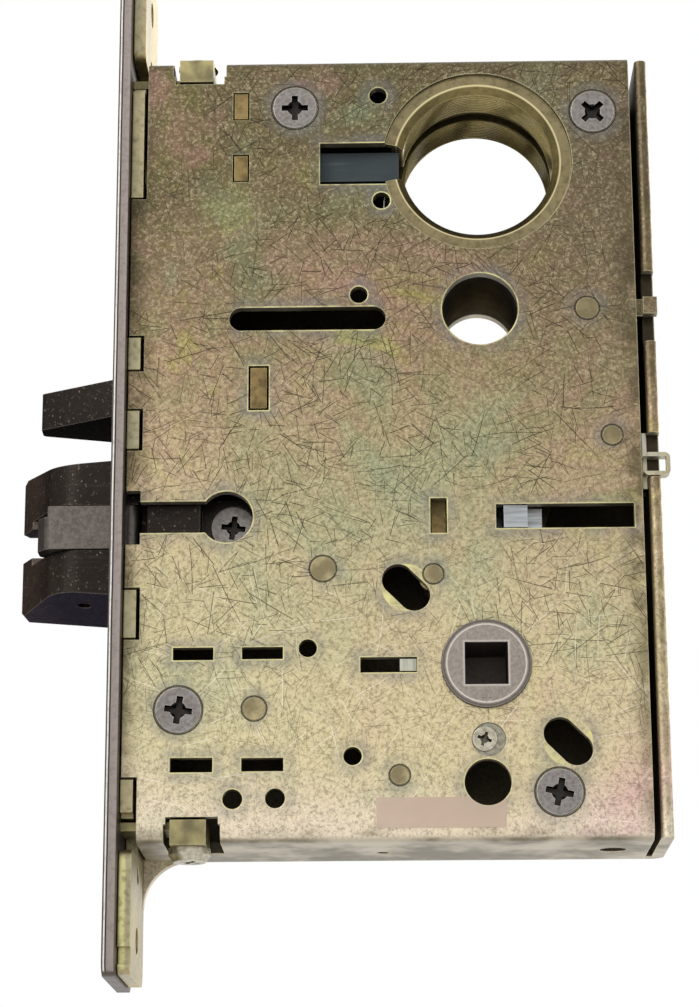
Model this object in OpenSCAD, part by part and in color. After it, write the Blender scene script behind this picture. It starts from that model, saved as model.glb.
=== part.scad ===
// Mortise lock case with latchbolt, anti-friction tongue, auxiliary latch,
// split lever hub, armoured front and a threaded hole for a mortise cylinder.
// Origin: lever-hub axis at the middle of the case thickness.
// +X runs into the door (the front is at -X), +Y to the far side, +Z up.

/* [Case] */
// Distance from the face of the front to the lever-hub axis
backset = 69.85; // [69.85:0.05:70]
// Outside thickness of the case
case_t = 25.4; // [25.4:0.1:25.6]
// Sheet thickness of the case plates
sheet = 2.3; // [2.2:0.05:2.3]
// Top of the case above the hub axis
case_top = 122; // [122:0.5:124]
// Bottom of the case below the hub axis
case_bottom = -32.7; // [-34:0.1:-32.7]
// Rear end of the cover plate
cap_rear = 29.9; // [29.9:0.1:30]

/* [Front] */
// Height of the armoured front
front_h = 203.2; // [203.2:0.1:206]
// Width of the armoured front
front_w = 31.75; // [31.75:0.05:33]
// Thickness of the armoured front
front_t = 2.35; // [2.3:0.01:2.35]
// Distance between the two door fixing screws
front_screw_pitch = 187.3; // [187:0.1:188]

/* [Holes] */
// Height of the thumb-turn hole above the hub
turn_z = 69.6; // [69.4:0.1:69.8]
// Radius of the thumb-turn hole
turn_r = 7.28; // [7.2:0.01:7.3]
// Height of the cylinder hole above the hub
cylinder_z = 100.3; // [100.2:0.1:100.4]
// Radius of the threaded cylinder hole
cylinder_r = 14.7; // [14.6:0.05:14.75]
// Width of the square spindle hole
spindle = 8; // [7.9:0.05:8.2]

/* [Latch] */
// Height of the latchbolt's middle line
latch_z = 28.2; // [28.2:0.05:28.3]
// How far the latchbolt stands out of the front
latch_out = 19.4; // [19.2:0.1:19.5]
// Travel of the latchbolt
latch_travel = 19.05; // [18.8:0.05:19.1]
// Height of the auxiliary bolt's middle line
aux_z = 54; // [53.9:0.1:54.1]
// Height of the auxiliary bolt
aux_h = 7.4; // [7.2:0.1:7.5]

/* [Hidden] */
$fn = 64;
eps = 0.02;
yn = -case_t / 2;              // near outer face of the case
yf = case_t / 2;               // far outer face
yni = yn + sheet;              // near inner face
yfi = yf - sheet;              // far inner face
front_x = -backset;            // outer face of the front
back_x = front_x + front_t;    // back of the armoured front
wall_x0 = back_x + 0.2;        // case front wall, outer face
wall_x1 = wall_x0 + sheet;     // case front wall, inner face
rear_x1 = cap_rear + 3.6;      // rear wall, outer face
rear_x0 = rear_x1 - sheet;     // rear wall, inner face
front_zc = (case_top + case_bottom) / 2;
front_z0 = front_zc - front_h / 2;
front_z1 = front_zc + front_h / 2;
notch_x = wall_x1 + 0.7;       // inner end of the tab notches in the cover
hub_r = 8.27;                  // visible journal of the hub
hub_hole_r = 8.33;             // its bearing hole in the plates
collar_r = 18.3;               // flange of a cylinder collar
bolt_near = -7.8;              // near face of the latchbolt
bolt_far = 10;                 // far face of the latchbolt
latch_r = 4.0;                 // half height of the bar of the latch tail
set_y = -6.6;                  // depth of the cylinder set screw
trim_r = 3.0;                  // end radius of the slanted trim holes
trim_half = 1.5;               // half distance between their end centres
tabs = [[92.9, 116.2], [57.6, 64.9], [41.8, 50.2], [5.1, 15.1], [-27.6, -20.7]];
screw_at = [[-35.5, 111.8, 0], [22.7, 110.3, 45], [-56.9, -8.25, 8], [12.9, -24, 12]];
rivet_at = [[20.5, 69.5, 2.1], [24.5, 44, 1.8], [-30.2, 18.4, 2.3], [-9.6, 17.2, 1.7],
    [-42.9, -8.1, 2.1], [-16.2, -20.7, 1.7]];
retractor_at = [20.5, 69.5];   // pivot of the retractor lever
deadlock_at = [-30.2, 18.4];   // pivot of the deadlocking lever
plain_holes = [[-19.2, 114.2, 1.7], [-18.7, 92.1, 1.7], [-23.2, 72.7, 1.7],
    [-33, 3.2, 1.7], [-24.8, -17.1, 1.7], [-46.8, -24.9, 1.83], [-39, -24.8, 1.83],
    [-0.1, -22.1, 4.3]];
plain_slots = [[-58, -50.5, 1.1, 3.5], [-45.2, -37.6, 1.2, 3.5], [-58.3, -50.5, -19.9, -17.2],
    [-45.2, -37.5, -19.8, -17.3]];
clamp_notch_z = [97, 103.8];   // room for the clamp bar in the near collar

zinc = [0.78, 0.72, 0.55];
steel = [0.55, 0.54, 0.52];
dark = [0.18, 0.16, 0.15];
brass = [0.72, 0.6, 0.3];

// ---- shapes that repeat ----
module yext(y0, y1) translate([0, y1, 0]) rotate([90, 0, 0]) linear_extrude(y1 - y0) children();
module xext(x0, x1) translate([x0, 0, 0]) rotate([90, 0, 90]) linear_extrude(x1 - x0) children();
module zext(z0, z1) translate([0, 0, z0]) linear_extrude(z1 - z0) children();
module ycyl(x, z, r, y0, y1) translate([x, y1, z]) rotate([90, 0, 0]) cylinder(r = r, h = y1 - y0);
module xcyl(y, z, r, x0, x1) translate([x0, y, z]) rotate([0, 90, 0]) cylinder(r = r, h = x1 - x0);
module zcyl(x, y, r, z0, z1) translate([x, y, z0]) cylinder(r = r, h = z1 - z0);
module ycone(x, z, r0, r1, y0, y1)
    translate([x, y0, z]) rotate([-90, 0, 0]) cylinder(r1 = r0, r2 = r1, h = y1 - y0);
module block(x, y, z) translate([x[0], y[0], z[0]]) cube([x[1] - x[0], y[1] - y[0], z[1] - z[0]]);
module rect(a, b) translate([a[0], b[0]]) square([a[1] - a[0], b[1] - b[0]]);

// Rectangle with round corners
module round_rect(a, b, r) {
    rect([a[0] + r, a[1] - r], b);
    rect(a, [b[0] + r, b[1] - r]);
    for (u = [a[0] + r, a[1] - r], v = [b[0] + r, b[1] - r]) translate([u, v]) circle(r = r);
}

// Straight bar with round ends between two points
module bar(p, q, r) {
    d = q - p;
    translate(p) rotate(atan2(d[1], d[0])) translate([0, -r]) square([norm(d), 2 * r]);
    for (c = [p, q]) translate(c) circle(r = r);
}

// Phillips recess, opening towards -Y at depth y
module cross_recess(x, z, y, turn, size) {
    for (a = [0, 90]) translate([x, y, z]) rotate([0, turn + a, 0])
        block([-size, size], [-1, 1.7], [-0.23 * size, 0.23 * size]);
    ycone(x, z, 0.6 * size, 0.3 * size, y - eps, y + 1.7);
}

// Round wire along a path; the wire must never run along side
function unit(v) = v / norm(v);
function tangent(p, i) = unit(p[min(i + 1, len(p) - 1)] - p[max(i - 1, 0)]);
function ring(p, i, r, n, side) =
    let (t = tangent(p, i), u = unit(cross(side, t)), v = cross(t, u))
    [for (k = [0 : n - 1]) p[i] + r * (cos(360 * k / n) * u + sin(360 * k / n) * v)];
module wire(p, r, side, n = 8) {
    pts = [for (i = [0 : len(p) - 1]) each ring(p, i, r, n, side)];
    last = (len(p) - 1) * n;
    sides = [for (i = [0 : len(p) - 2], k = [0 : n - 1])
        [i * n + k, i * n + (k + 1) % n, (i + 1) * n + (k + 1) % n, (i + 1) * n + k]];
    polyhedron(pts, concat(sides, [[for (k = [n - 1 : -1 : 0]) k]], [[for (k = [0 : n - 1]) last + k]]));
}
function coil_x(x0, x1, y, z, r, turns, step = 20) =
    [for (a = [0 : step : 360 * turns]) [x0 + (x1 - x0) * a / (360 * turns), y + r * cos(a), z + r * sin(a)]];
function coil_y(y0, y1, r, a0, a1, step = 20) =
    [for (i = [0 : floor((a1 - a0) / step)])
        let (a = a0 + i * step) [r * sin(a), y0 + (y1 - y0) * i * step / (a1 - a0), r * cos(a)]];

// ---- case ----
// Slot cut through a plate between two end centres; the flanks lie just inside the round ends
module ybar(p, q, r, y) {
    yext(y[0], y[1]) translate(p) rotate(atan2(q[1] - p[1], q[0] - p[0]))
        translate([0, 0.02 - r]) square([norm(q - p), 2 * r - 0.04]);
    for (c = [p, q]) ycyl(c[0], c[1], r, y[0], y[1]);
}
// Holes that both side plates have, from depth y[0] to y[1]
module plate_holes(y) {
    ycyl(0, 0, hub_hole_r, y[0], y[1]);
    ycyl(0, turn_z, turn_r, y[0], y[1]);
    ycyl(0, cylinder_z, collar_r + 0.1, y[0], y[1]);
    for (c = rivet_at) ycyl(c[0], c[1], c[2], y[0], y[1]);
}
// Holes and windows of the cover for the trim, the guides, the stop slide and the clamp
module cover_windows(y) {
    for (s = [-1, 1])
        ybar([14.7 * s - trim_half, trim_half - 14.65 * s], [14.7 * s + trim_half, -trim_half - 14.65 * s],
            trim_r, y);
    for (h = plain_holes) ycyl(h[0], h[1], h[2], y[0], y[1]);
    ybar([-45.7, 67.95], [-20.4, 67.95], 2.35, y);
    block([2.3, 28.2], y, [25.9, 30.6]);
    for (s = plain_slots) block([s[0], s[1]], y, [s[2], s[3]]);
    block([-23.3, -12.8], y, [-1.5, 1.4]);
    block([-30.6, -14.5], y, [95.6, 104.2]);
    for (w = [[-47.6, -44.4, 109.3, 115.2], [-47.6, -44.4, 96.3, 102.1],
            [-44.3, -40.4, 49.6, 58.5], [-10, -6.9, 25.1, 31.9]])
        block([w[0], w[1]], y, [w[2], w[3]]);
    ycyl(-48.3, 28.6, 5, y[0], y[1]);
    block([-68, -48.3], y, [25.6, 31.7]);
    block([-70, -64.5], y, [23.4, 33.9]);
    ycyl(0.2, -14.2, 3.15, y[0], y[1]);
    for (s = screw_at) ycyl(s[0], s[1], 4.3, y[0], y[1]);
}
// Notches along the edges of the cover
module cover_notches(y) {
    for (i = [1 : 3]) block([-70, notch_x], y, tabs[i]);
    block([-70, notch_x], y, [case_bottom - 5, tabs[4][1]]);
    block([-70, notch_x], y, [tabs[0][0], case_top + 1]);
    block([-59, -49.4], y, [case_bottom - 1, -28.1]);
    block([-59, -49.4], y, [117.1, case_top + 1]);
}
module cap() color(zinc) {
    r = 2.2;
    difference() {
        xext(wall_x0 + 0.1, cap_rear) difference() {
            round_rect([yn, yf + 6], [case_bottom, case_top], r);
            rect([yfi - 0.05, yf + 7], [case_bottom - 1, case_top + 1]);
            round_rect([yni, yf + 5], [case_bottom + sheet, case_top - sheet], 0.6);
        }
        plate_holes([yn - 1, yni + 0.5]);
        cover_windows([yn - 1, yni + 0.5]);
        cover_notches([yn - 1, yni + 0.5]);
        block([wall_x0, notch_x], [yni, yf], [case_bottom - 1, case_top + 1]);
        for (z = [case_bottom - 1, case_top - sheet - 1])
            block([-59.4, -49], [yn - 1, 1.8], [z, z + sheet + 2]);
        zcyl(-19.5, 1.8, 1.25, case_bottom - 1, case_bottom + sheet + 1);
        zcyl(23.2, 0.3, 2.6, case_bottom - 1, case_bottom + sheet + 1);
    }
    // tongues that lock into the rear wall
    block([cap_rear - eps, rear_x0 + eps], [yn + 1.5, yn + 2.2], [68.3, 71.7]);
    block([rear_x0, rear_x1 + 0.4], [yn + 0.1, yn + 2.2], [68.3, 71.7]);
}
module case_shell() color(zinc) {
    bend = 2.5;
    difference() {
        union() {
            zext(case_bottom + 0.2, case_top - 1) {
                rect([wall_x1, rear_x1 - bend], [yfi, yf]);
                rect([rear_x0, rear_x1], [yn + sheet / 2, yf - bend]);
                translate([rear_x1 - sheet / 2, yn + sheet / 2]) circle(r = sheet / 2);
                intersection() {
                    translate([rear_x1 - bend, yf - bend]) circle(r = bend);
                    rect([rear_x1 - bend, rear_x1], [yf - bend, yf]);
                }
            }
            // gussets that run into the ears of the front wall
            yext(yfi, yf) for (s = [[case_bottom + 0.2, -1], [case_top - 1, 1]])
                difference() {
                    translate([wall_x1, min(s[0], s[0] + 9 * s[1])]) square([9, 9]);
                    translate([wall_x1 + 9, s[0] + 9 * s[1]]) circle(r = 8.9);
                }
        }
        plate_holes([yfi - 0.5, yf + 1]);
        for (z = [[71.7, 77], [62.8, 71.8], [40.9, 44.5], [35.8, 40.9]])
            block([rear_x0 - 1, rear_x1 + 1], [yn - 1, yn + 3.4], z);
    }
}
// Front wall of the case, with its tabs and the two ears
module inner_front() color(zinc) difference() {
    union() {
        block([wall_x0, wall_x1], [yni + 0.1, yf - 0.4], [case_bottom - 2, case_top + 2]);
        for (t = tabs) block([wall_x0, wall_x1], [yn + 0.05, yni + 0.3], [t[0] + 0.45, t[1] - 0.45]);
        for (z = [[front_z0 + 0.6, case_bottom - 1], [case_top + 1, front_z1 - 0.6]])
            xext(wall_x0, wall_x1) round_rect([yn, yf - 0.4], z, 2.4);
    }
    block([wall_x0 - 1, wall_x1 + 1], [-9.7, 10.95], [11.9, 44.6]);
    block([wall_x0 - 1, wall_x1 + 1], [yn - 1, -9], [23.2, 34.1]);
    block([wall_x0 - 1, wall_x1 + 1], [-9.2, 10.9], [aux_z - aux_h / 2 - 0.9, aux_z + aux_h / 2 + 0.9]);
    xcyl(set_y, cylinder_z, 2.8, wall_x0 - 1, wall_x1 + 1);
    for (s = [-1, 1]) {
        xcyl(0, front_zc + s * front_screw_pitch / 2, 2.6, wall_x0 - 1, wall_x1 + 1);
        xcyl(0, front_zc + s * 81.5, 1.75, wall_x0 - 1, wall_x1 + 1);
        block([wall_x0 - 1, wall_x1 + 1], [yn - 1, yn + 1.6],
            [front_zc + s * 97.7 - 1.6, front_zc + s * 97.7 + 1.6]);
    }
    for (z = [[case_bottom - 1, case_bottom + 4.8], [case_top - 4.8, case_top + 1]])
        block([wall_x0 - 1, wall_x1 + 1], [yn - 1, 0], z);
}
module case_screws() color(steel) for (s = screw_at) difference() {
    union() {
        ycone(s[0], s[1], 4.25, 2.6, yn - 0.05, yni);
        ycyl(s[0], s[1], 2, yni - eps, yni + 9);
    }
    cross_recess(s[0], s[1], yn - 0.05, s[2], 2.6);
}
module case_posts() color(steel) for (s = screw_at) difference() {
    ycyl(s[0], s[1], 4.4, yni, yfi);
    ycyl(s[0], s[1], 2.05, yni - 1, yni + 12);
}
// Rivets and pivot posts, flush in both plates
module rivet_posts() color(steel) for (c = rivet_at) {
    ycyl(c[0], c[1], c[2], yn - 0.02, (c[1] == 44) ? 5 : yf);
    if (c[1] != 44) ycyl(c[0], c[1], c[2] + 1, yni, yni + 1.2);
}
// ---- cylinder hole ----
module collar_body(depth) rotate_extrude($fn = 96) difference() {
    union() {
        translate([cylinder_r, 0]) square([collar_r - cylinder_r, 1.6]);
        translate([cylinder_r, 0]) square([17 - cylinder_r, depth]);
    }
    polygon([[cylinder_r - 1, -1], [16.1 + 1, -1], [16.1, 0], [cylinder_r - 1, 1.4 + 1]]);
}
module cylinder_collar_near() color(brass) difference() {
    translate([0, yn + 0.75, cylinder_z]) rotate([-90, 0, 0]) collar_body(9.6);
    block([-20, -10], [yn, 0], clamp_notch_z);
}
module cylinder_collar_far() color(brass)
    translate([0, yf - 0.75, cylinder_z]) rotate([90, 0, 0]) collar_body(10.5);
module turn_sleeve() color(dark) difference() {
    ycyl(0, turn_z, turn_r + 1.2, yni, yfi);
    ycyl(0, turn_z, turn_r, yni - 1, yfi + 1);
}
// Bracket that the cylinder set screw runs in; its tabs show in the cover
module set_screw_bracket() color(zinc) difference() {
    union() {
        block([-47.3, -44.7], [yni + 0.1, yfi - 0.2], [95, 116.6]);
        for (z = [[96.6, 101.8], [109.6, 114.9]]) block([-47.3, -44.7], [yn + 0.1, yni + 0.3], z);
    }
    xcyl(set_y, cylinder_z, 2.05, -48, -44);
}
module aux_guide() color(brass) difference() {
    union() {
        block([-43.9, -40.8], [yni + 0.1, yfi - 0.2], [46.6, 61.6]);
        block([-43.9, -40.8], [yn + 0.1, yni + 0.3], [50, 58.1]);
    }
    xcyl(0, aux_z, 2.55, -45, -40);
}
module aux_spring_stop() color(zinc) block([-9.4, -7.6], [yni + 0.1, yfi - 0.2], [48, 60.6]);
// Brass guide that the bar of the latch tail runs through
module latch_guide() color(brass) difference() {
    block([-9.8, -7.1], [yni + 0.1, yfi - 0.2], [22, 41]);
    block([-11, -6], [-2.05, 2.05], [latch_z - latch_r - 0.05, latch_z + latch_r + 0.05]);
}
module function_screw() color(brass) difference() {
    union() {
        ycyl(-0.6, -14.1, 2.25, yn - 0.1, yn + 1);
        ycyl(-0.6, -14.1, 1.4, yn + 1 - eps, yn + 7);
    }
    cross_recess(-0.6, -14.1, yn - 0.1, 20, 1.35);
}
module function_bush() color(dark) difference() {
    union() {
        ycyl(0.2, -14.2, 3.1, yn + 0.3, yni + 0.5);
        ycyl(0.2, -14.2, 3.2, yni + 0.02, yni + 2.4);
    }
    ycyl(-0.6, -14.1, 2.28, yn - 1, yn + 1.02);
    ycyl(-0.6, -14.1, 1.45, yn - 1, yn + 8);
}
module label() color([0.85, 0.8, 0.7]) difference() {
    block([-20.5, 3.1], [yn - 0.15, yn], [case_bottom + 2.3, -24.8]);
    ycyl(-0.1, -22.1, 4.35, yn - 1, yn + 1);
}
// Small spring clip that shows outside the rear wall
module rear_clip() color(zinc) {
    yext(yn + 0.3, yn + 2.6) difference() {
        round_rect([rear_x0 - 1, rear_x1 + 1.8], [36.1, 40.6], 1.1);
        rect([rear_x0 - 2, rear_x1 + 1.1], [36.9, 39.8]);
    }
    block([rear_x0 - 1, rear_x0 - 0.1], [yn + 2.5, -5], [34, 45]);
}
// ---- springs ----
module latch_spring() color(steel)
    wire(coil_x(-39.3, -10.4, 0, latch_z, 5.4, 8, 24), 0.5, [1, 0, 0], 6);
module aux_spring() color(steel)
    wire(coil_x(-34.5, -10, 0, aux_z, 3.6, 8, 24), 0.4, [1, 0, 0], 6);
// Torsion spring round a hub: one leg on the rivet below, one on the arm
module hub_spring(s) {
    round_part = coil_y(s * 9.5, s * 8, 10.3, 220, 1050);
    wire(concat([[-12.6, s * 9.5, -18.8]], round_part, [[-4.1, s * 7.9, 13.4], [-4.1, s * 7.9, 16]]),
        0.45, [0, 1, 0]);
}
module hub_spring_inside() color(steel) hub_spring(-1);
module hub_spring_outside() color(steel) hub_spring(1);
// ---- front ----
module armored_front() color(dark) difference() {
    xext(front_x, back_x) round_rect([-front_w / 2, front_w / 2], [front_z0, front_z1], 2.8);
    block([front_x - 1, back_x + 1], [-9.6, 10.9], [12, 44.4]);
    block([front_x - 1, back_x + 1], [-9, 10.8], [aux_z - aux_h / 2 - 0.8, aux_z + aux_h / 2 + 0.8]);
    xcyl(set_y, cylinder_z, 2.7, front_x - 1, back_x + 1);
    for (s = [-1, 1]) {
        translate([front_x - eps, 0, front_zc + s * front_screw_pitch / 2]) rotate([0, 90, 0])
            cylinder(r1 = 4.4, r2 = 2.6, h = 1.5);
        xcyl(0, front_zc + s * front_screw_pitch / 2, 2.6, front_x - 1, back_x + 1);
        translate([front_x - eps, 0, front_zc + s * 81.5]) rotate([0, 90, 0])
            cylinder(r1 = 2.9, r2 = 1.75, h = 1.1);
        xcyl(0, front_zc + s * 81.5, 1.75, front_x - 1, back_x + 1);
    }
}
module armor_screws() color(dark) for (s = [-1, 1])
    translate([front_x + 0.05, 0, front_zc + s * 81.5]) rotate([0, 90, 0]) difference() {
        union() {
            cylinder(r1 = 2.75, r2 = 1.6, h = 1.1);
            cylinder(r = 1.55, h = 4.2);
        }
        for (a = [0, 90]) rotate([0, 0, a]) translate([-1.4, -0.3, -1]) cube([2.8, 0.6, 1.8]);
    }
// Angle lugs that hold the front at its bevel, one below and one above
module bevel_clamp() difference() {
    union() {
        block([back_x, -51.6], [-9.4, -1.4], [case_bottom + sheet + 0.3, case_bottom + 4.2]);
        block([-58.2, -51.6], [yn + 0.4, -1.4], [case_bottom - 0.4, case_bottom + 4.2]);
    }
    zcyl(-54.9, -7, 1.85, case_bottom - 2, case_bottom + 5);
}
// head is the height of the screw's head
module bevel_screw(head) difference() {
    union() {
        zcyl(-54.9, -7, 3.9, case_bottom - 0.4 - head / 2, case_bottom - 0.4 - eps);
        translate([-54.9, -7, case_bottom - 0.4 - head]) cylinder(r1 = 3, r2 = 3.9, h = head / 2);
        zcyl(-54.9, -7, 1.8, case_bottom - 1, case_bottom + 6);
    }
    for (a = [30, 120]) translate([-54.9, -7, case_bottom - 1.4 - head]) rotate([0, 0, a])
        translate([-2, -0.45, 0]) cube([4, 0.9, 1.8]);
}
module upside() translate([0, 0, case_top + case_bottom]) mirror([0, 0, 1]) children();
module bevel_clamps() color(zinc) { bevel_clamp(); upside() bevel_clamp(); }
module bevel_screws() color(steel) { bevel_screw(2.5); upside() bevel_screw(1.2); }
// ---- latchbolt ----
nose_x = front_x - latch_out;
// Plan of the latchbolt: flat far side, curved bevel on the near side
module latch_plan() polygon(concat(
    [[-61, bolt_near], [-76, bolt_near]],
    [for (a = [5 : 5 : 60]) [-76 - 8 * sin(a), bolt_near + 8 - 8 * cos(a)]],
    [[nose_x + 0.1, 7.8], [nose_x + 1, bolt_far], [-61, bolt_far]]));
// Room above the tapered top of the latchbolt
module latch_taper() translate([-70, bolt_near, latch_z + 13.2]) rotate([7.4, -4.6, 0])
    translate([-40, -30, 0]) cube([80, 80, 30]);
module latch_head() color(dark) difference() {
    union() {
        difference() {
            zext(latch_z - 20, latch_z + 20) latch_plan();
            latch_taper();
            translate([0, 0, 2 * latch_z]) mirror([0, 0, 1]) latch_taper();
            for (s = [-1, 1]) translate([nose_x, 0, latch_z + s * 14.6]) rotate([0, 45, 0])
                cube([2.6, 40, 2.6], center = true);
        }
        block([-62, -40.8], [-6, 6], [latch_z - 5.6, latch_z + 5.6]);
        block([-63.4, -53.4], [-9.9, -5], [latch_z - 2.4, latch_z + 3.6]);
    }
    // pocket of the tongue, open at the near side, and the gap between the noses
    block([-100, -65.2], [-20, 3.6], [latch_z - 4.4, latch_z + 4.4]);
    block([-65.3, -63.6], [-20, -3], [latch_z - 4.9, latch_z + 4.9]);
    block([-100, -81], [3, 20], [latch_z - 2.9, latch_z + 2.9]);
    zcyl(-76, -1, 1.23, latch_z - 25, latch_z + 25);
    ycyl(-47.35, latch_z, 4.25, -20, -3.9);
    ycyl(-47.35, latch_z, 2.1, -5, 7);
    block([-50, -40], [-2.1, 2.1], [latch_z - latch_r - 0.1, latch_z + latch_r + 0.1]);
}
module latch_screw() color(steel) difference() {
    union() {
        ycyl(-47.35, latch_z, 4.15, -6.3, -3.9);
        ycyl(-47.35, latch_z, 2.05, -3.9 - eps, 6);
    }
    cross_recess(-47.35, latch_z, -6.3, 8, 2.3);
}
// Flat bar with the cross lug that the hub arms push and a guide in the plates
module latch_tail() color(steel) {
    difference() {
        union() {
            block([-49.6, 6.8], [-2, 2], [latch_z - latch_r, latch_z + latch_r]);
            block([-40.7, -39.9], [-5.9, 5.9], [latch_z - 5.9, latch_z + 5.9]);
        }
        ycyl(-47.35, latch_z, 2.1, -5, 5);
    }
    block([3.75, 6.8], [-7.3, 7.2], [latch_z - 13.2, latch_z + 4.6]);
    block([3.75, 8.2], [yn + 0.2, -7.2], [26.1, 30.4]);
    block([3.75, 11], [-9.9, -7.2], [26.1, 30.4]);
    ycyl(8, 28.3, 1.5, 3, 9.8);
    block([6.7, 9.9], [2.6, 6.8], [25.8, 30.8]);
}
module tongue_pin() color(steel) zcyl(-76, -1, 1.2, latch_z - 12.6, latch_z + 12.6);
module antifriction_tongue() color(steel) difference() {
    union() {
        zext(latch_z - 4.2, latch_z + 4.2)
            polygon([[-66.9, -8], [-82, -8], [-83.2, -7.4], [-84.6, -5.6], [-84.6, -2.4],
                [-81.5, 1.6], [-74, 2.4], [-70, 0.4], [-66.9, -4]]);
        zcyl(-66.9, -6.3, 1.8, latch_z - 4.2, latch_z + 4.2);
    }
    zcyl(-76, -1, 1.24, 0, 60);
    block([-90, -82.6], [-9, 4], [latch_z + 2.2, latch_z + 5]);
}
// ---- auxiliary bolt ----
module aux_bolt() color(dark) difference() {
    zext(aux_z - aux_h / 2, aux_z + aux_h / 2)
        polygon([[-60.5, -8], [-70, -8], [-84.6, 0.3], [-85.3, 0.8], [-85.4, 4.2], [-84.9, 4.8],
            [-70, 9.8], [-60.5, 9.8]]);
    xcyl(0, aux_z, 2.5, -68, -60);
}
module aux_rod() color(steel) {
    xcyl(0, aux_z, 2.5, -68, -27);
    block([-38.2, -35], [-3.6, 9.6], [aux_z - 3.6, aux_z + 3.6]);
}
// ---- hubs and levers ----
// One half of the split lever hub; s is -1 for the near half
module hub(s) difference() {
    union() {
        ycyl(0, 0, hub_r, min(s * 0.12, s * (yf + 0.6)), max(s * 0.12, s * (yf + 0.6)));
        ycyl(0, 0, 9.3, min(s * 0.12, s * (yfi - 0.15)), max(s * 0.12, s * (yfi - 0.15)));
        yext(min(s * 2.4, s * 7), max(s * 2.4, s * 7)) {
            bar([0, 4], [0, 24.5], 3);
            circle(r = 12);
        }
    }
    // the far half keeps a web at the middle, so each spindle has its own socket
    block([-spindle / 2, spindle / 2], (s < 0) ? [-20, 1] : [2.2, 20], [-spindle / 2, spindle / 2]);
    // direction arrow under the square
    translate([0, s * (yf + 0.6), 0]) rotate([90, 0, 0]) translate([0, 0, -0.15]) linear_extrude(0.3) {
        polygon([[0, -7.5], [-0.95, -6.5], [0.95, -6.5]]);
        rect([-0.22, 0.22], [-6.6, -5.2]);
    }
}
module hub_inside() color(steel) hub(-1);
module hub_outside() color(steel) hub(1);
// Lever between the cylinder cam and the latch tail
module retractor_lever() color(zinc) {
    y = [7.6, 9.7];
    difference() {
        union() {
            ybar(retractor_at, [9.4, 32], 3, y);
            ybar([9.4, 32], [7.95, 28.1], 3.2, y);
            ybar(retractor_at, [18.4, 83], 2.8, y);
            ycyl(retractor_at[0], retractor_at[1], 4.6, y[0], y[1]);
        }
        ycyl(retractor_at[0], retractor_at[1], rivet_at[0][2] + 0.05, y[0] - 1, y[1] + 1);
        ybar([8.55, 30.1], [7.85, 27.85], 1.85, [y[0] - 1, y[1] + 1]);
    }
}
module deadlock_lever() color(zinc) {
    y = [6.6, 8.6];
    difference() {
        union() {
            ybar(deadlock_at, [-32.7, aux_z], 2, y);
            ybar(deadlock_at, [-39, 19.5], 1.9, y);
            ycyl(deadlock_at[0], deadlock_at[1], 4.4, y[0], y[1]);
        }
        ycyl(deadlock_at[0], deadlock_at[1], rivet_at[2][2] + 0.05, y[0] - 1, y[1] + 1);
    }
}
// Stop slide: its tab shows in the slot beside the hub
module stop_slide() color(zinc) {
    block([-24, -12.9], [yni + 0.4, -7], [-6.5, -2.2]);
    block([-16, -12.9], [yni + 0.4, -7], [-2.3, 1.1]);
    block([-16, -12.9], [yn + 0.3, yni + 0.5], [-1.2, 1.1]);
}
// ---- cylinder clamp ----
module cylinder_clamp() color(dark)
    block([-34, -15.3], [-9.6, -4.4], [clamp_notch_z[0] + 0.4, clamp_notch_z[1] - 0.4]);
module cylinder_set_screw() color(dark) difference() {
    xcyl(set_y, cylinder_z, 2, -60.5, -34.2);
    block([-62, -59.3], [set_y - 0.4, set_y + 0.4], [cylinder_z - 3, cylinder_z + 3]);
}

cap();
case_shell();
inner_front();
case_screws();
case_posts();
rivet_posts();
cylinder_collar_near();
cylinder_collar_far();
turn_sleeve();
set_screw_bracket();
aux_guide();
aux_spring_stop();
latch_guide();
function_screw();
function_bush();
label();
latch_spring();
aux_spring();
hub_spring_inside();
hub_spring_outside();
rear_clip();
armored_front();
armor_screws();
bevel_clamps();
bevel_screws();
latch_head();
latch_tail();
latch_screw();
tongue_pin();
antifriction_tongue();
aux_bolt();
aux_rod();
hub_inside();
hub_outside();
retractor_lever();
deadlock_lever();
stop_slide();
cylinder_clamp();
cylinder_set_screw();
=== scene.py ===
import math

import bpy
from mathutils import Matrix, Vector


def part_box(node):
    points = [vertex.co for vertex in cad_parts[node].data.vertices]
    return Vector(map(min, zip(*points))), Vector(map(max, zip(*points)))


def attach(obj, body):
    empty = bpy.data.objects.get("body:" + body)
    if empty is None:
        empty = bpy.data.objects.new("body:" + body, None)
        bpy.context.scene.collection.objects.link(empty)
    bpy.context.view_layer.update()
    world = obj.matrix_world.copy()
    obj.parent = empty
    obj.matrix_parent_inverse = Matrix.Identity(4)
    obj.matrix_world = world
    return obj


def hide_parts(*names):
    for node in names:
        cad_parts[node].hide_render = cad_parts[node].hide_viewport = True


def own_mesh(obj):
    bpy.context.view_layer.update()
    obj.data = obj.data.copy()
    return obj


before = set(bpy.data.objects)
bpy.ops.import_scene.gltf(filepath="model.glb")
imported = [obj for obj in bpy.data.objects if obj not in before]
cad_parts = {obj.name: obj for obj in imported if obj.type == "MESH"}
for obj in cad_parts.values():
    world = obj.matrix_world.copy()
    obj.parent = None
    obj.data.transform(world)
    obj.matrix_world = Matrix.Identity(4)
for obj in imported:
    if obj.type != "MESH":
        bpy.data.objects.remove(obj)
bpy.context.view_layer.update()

# ---- camera and light ----
# The lock hangs in a light tent: white all round, one broad soft lamp from the upper left,
# one from below for the underside and one from behind.
camera_axes = ((0.99978993, 0.02000462, -0.00446122), (0.00983471, -0.27726342, 0.9607436),
               (0.01798238, -0.96058566, -0.27740192))
camera_data = bpy.data.cameras.new("camera")
camera_data.sensor_width = 36.0
camera_data.lens = 2751.39 * 36.0 / 1007
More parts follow.
